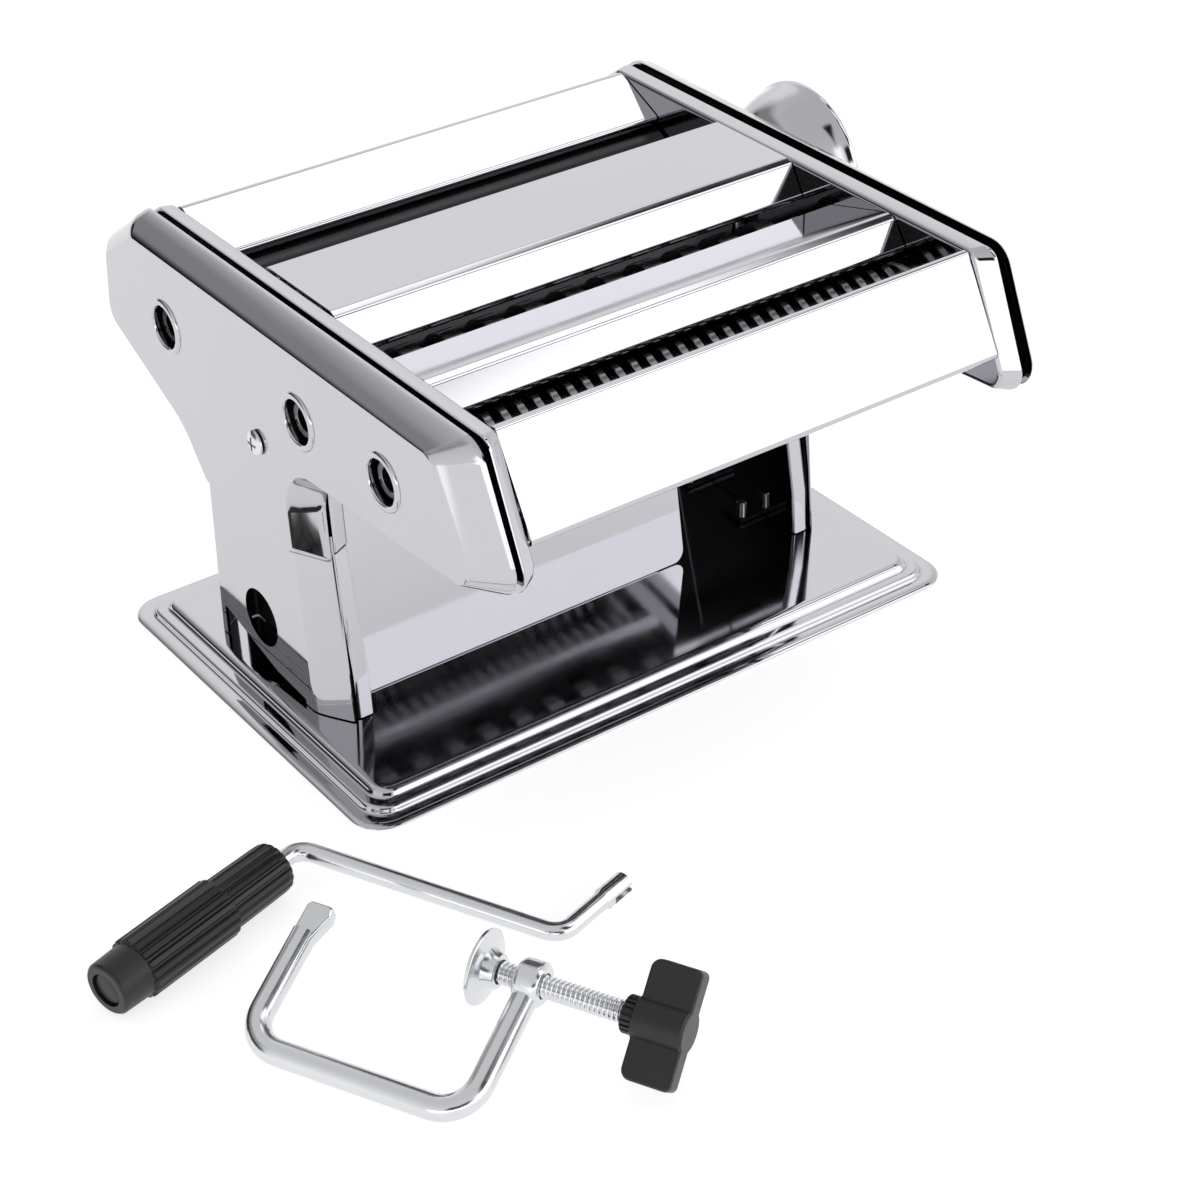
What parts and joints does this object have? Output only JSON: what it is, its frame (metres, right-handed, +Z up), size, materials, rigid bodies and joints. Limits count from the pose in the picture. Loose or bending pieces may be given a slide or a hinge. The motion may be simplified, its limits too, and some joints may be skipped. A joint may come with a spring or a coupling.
{
  "type": "pasta roller machine",
  "caption": "Hand-cranked pasta machine with smooth rollers, wide and narrow cutters and a thickness dial, with its crank and table clamp lying beside it.",
  "frame": {"origin": "the middle of the whole set's footprint, on the table", "axes": "+X along the rollers from the crank sockets towards the dial, +Y from the front panel to the rear hopper, +Z up"},
  "size_m": [0.3008, 0.2764, 0.1292],
  "materials": {
    "chromed_steel": "mirror-bright chrome plating on pressed sheet steel",
    "ground_steel": "ground and nickel-plated steel, satin to bright",
    "zinc_plated_steel": "bright zinc plating with faint bending and drawing marks",
    "black_plastic": "moulded black plastic, semi-matt",
    "nylon": "moulded off-white nylon",
    "rubber": "matt black rubber"
  },
  "bodies": {
    "machine": {"base_plate": "chromed_steel", "rubber_foot_1": "rubber", "rubber_foot_2": "rubber", "rubber_foot_3": "rubber", "rubber_foot_4": "rubber", "base_screw_1": "zinc_plated_steel", "base_screw_2": "zinc_plated_steel", "base_screw_3": "zinc_plated_steel", "base_screw_4": "zinc_plated_steel", "side_frame_left": "chromed_steel", "side_frame_right": "chromed_steel", "side_cover_left": "chromed_steel", "side_cover_right": "chromed_steel", "rear_hopper_panel": "chromed_steel", "centre_cover": "chromed_steel", "divider_cover": "chromed_steel", "front_panel": "chromed_steel", "stand_front_wall": "chromed_steel", "stand_rear_wall": "chromed_steel", "tie_rod_centre": "zinc_plated_steel", "tie_rod_front": "zinc_plated_steel", "tie_rod_top": "zinc_plated_steel", "tie_rod_stand": "zinc_plated_steel", "cover_screw_left": "zinc_plated_steel", "cover_screw_right": "zinc_plated_steel", "smooth_bush_left": "nylon", "smooth_bush_right": "nylon", "wide_bearing_left": "nylon", "wide_bearing_right": "nylon", "narrow_bearing_left": "nylon", "narrow_bearing_right": "nylon", "wide_comb_rear": "zinc_plated_steel", "wide_comb_front": "zinc_plated_steel", "narrow_comb_rear": "zinc_plated_steel", "narrow_comb_front": "zinc_plated_steel", "drive_roller_scraper": "nylon"},
    "smooth_drive": {"smooth_drive_roller": "ground_steel", "smooth_drive_gear": "zinc_plated_steel"},
    "roller_carrier": {"idler_yoke": "ground_steel", "idler_scraper": "nylon"},
    "smooth_idler": {"smooth_idler_roller": "ground_steel", "smooth_idler_gear": "zinc_plated_steel"},
    "wide_drive": {"wide_drive_cutter": "ground_steel", "wide_drive_gear": "zinc_plated_steel"},
    "wide_driven": {"wide_driven_cutter": "ground_steel", "wide_driven_gear": "zinc_plated_steel"},
    "narrow_drive": {"narrow_drive_cutter": "ground_steel", "narrow_drive_gear": "zinc_plated_steel"},
    "narrow_driven": {"narrow_driven_cutter": "ground_steel", "narrow_driven_gear": "zinc_plated_steel"},
    "dial_shaft": {"dial_cam_shaft": "ground_steel"},
    "dial_knob": {"dial_knob": "chromed_steel"},
    "crank": {"crank_rod": "zinc_plated_steel"},
    "crank_grip": {"crank_grip": "black_plastic"},
    "clamp": {"clamp_frame": "zinc_plated_steel"},
    "clamp_pad": {"clamp_pad": "zinc_plated_steel"},
    "clamp_screw": {"clamp_screw": "zinc_plated_steel", "clamp_knob": "black_plastic"}
  },
  "joints": [
    {"name": "smooth_drive_spin", "type": "hinge", "parent": "machine", "child": "smooth_drive", "pos_m": [0.04028, 0.10115, 0.1027], "axis": [1, 0, 0], "continuous": true},
    {"name": "carrier_slide", "type": "slide", "parent": "machine", "child": "roller_carrier", "axis": [0, 1, 0], "range_m": [0, 0.0021]},
    {"name": "smooth_idler_spin", "type": "hinge", "parent": "roller_carrier", "child": "smooth_idler", "pos_m": [0.04028, 0.07065, 0.1027], "axis": [1, 0, 0], "continuous": true},
    {"name": "wide_drive_spin", "type": "hinge", "parent": "machine", "child": "wide_drive", "pos_m": [0.04028, 0.03095, 0.1048], "axis": [1, 0, 0], "continuous": true},
    {"name": "wide_driven_spin", "type": "hinge", "parent": "machine", "child": "wide_driven", "pos_m": [0.04028, 0.01235, 0.1048], "axis": [1, 0, 0], "continuous": true},
    {"name": "narrow_drive_spin", "type": "hinge", "parent": "machine", "child": "narrow_drive", "pos_m": [0.04028, -0.00945, 0.1063], "axis": [1, 0, 0], "continuous": true},
    {"name": "narrow_driven_spin", "type": "hinge", "parent": "machine", "child": "narrow_driven", "pos_m": [0.04028, -0.02805, 0.1063], "axis": [1, 0, 0], "continuous": true},
    {"name": "dial_turn", "type": "hinge", "parent": "machine", "child": "dial_shaft", "pos_m": [0.04028, 0.07295, 0.1027], "axis": [1, 0, 0], "range_deg": [0, 270]},
    {"name": "dial_pull", "type": "slide", "parent": "dial_shaft", "child": "dial_knob", "axis": [1, 0, 0], "range_m": [0, 0.004], "stiffness_N_per_m": 500},
    {"name": "crank_lift", "type": "slide", "parent": "machine", "child": "crank", "axis": [0, 0, 1], "range_m": [0, 0.15]},
    {"name": "crank_grip_spin", "type": "hinge", "parent": "crank", "child": "crank_grip", "pos_m": [-0.09152, -0.01145, 0.00825], "axis": [0.9617, 0.274, 0], "continuous": true},
    {"name": "clamp_lift", "type": "slide", "parent": "machine", "child": "clamp", "axis": [0, 0, 1], "range_m": [0, 0.15]},
    {"name": "pad_travel", "type": "slide", "parent": "clamp", "child": "clamp_pad", "axis": [-0.4618, 0.887, 0], "range_m": [-0.004, 0.018]},
    {"name": "screw_turn", "type": "hinge", "parent": "clamp_pad", "child": "clamp_screw", "pos_m": [-0.06275, -0.10923, 0.01666], "axis": [-0.4618, 0.887, 0], "range_deg": [-1153, 5185]}
  ],
  "couplings": [
    {"joint": "carrier_slide", "follows": "dial_turn", "m_per_rad": 0.0004456},
    {"joint": "smooth_idler_spin", "follows": "smooth_drive_spin", "ratio": -1},
    {"joint": "wide_driven_spin", "follows": "wide_drive_spin", "ratio": -1},
    {"joint": "narrow_driven_spin", "follows": "narrow_drive_spin", "ratio": -1},
    {"joint": "screw_turn", "follows": "pad_travel", "rad_per_m": 5026.5}
  ]
}
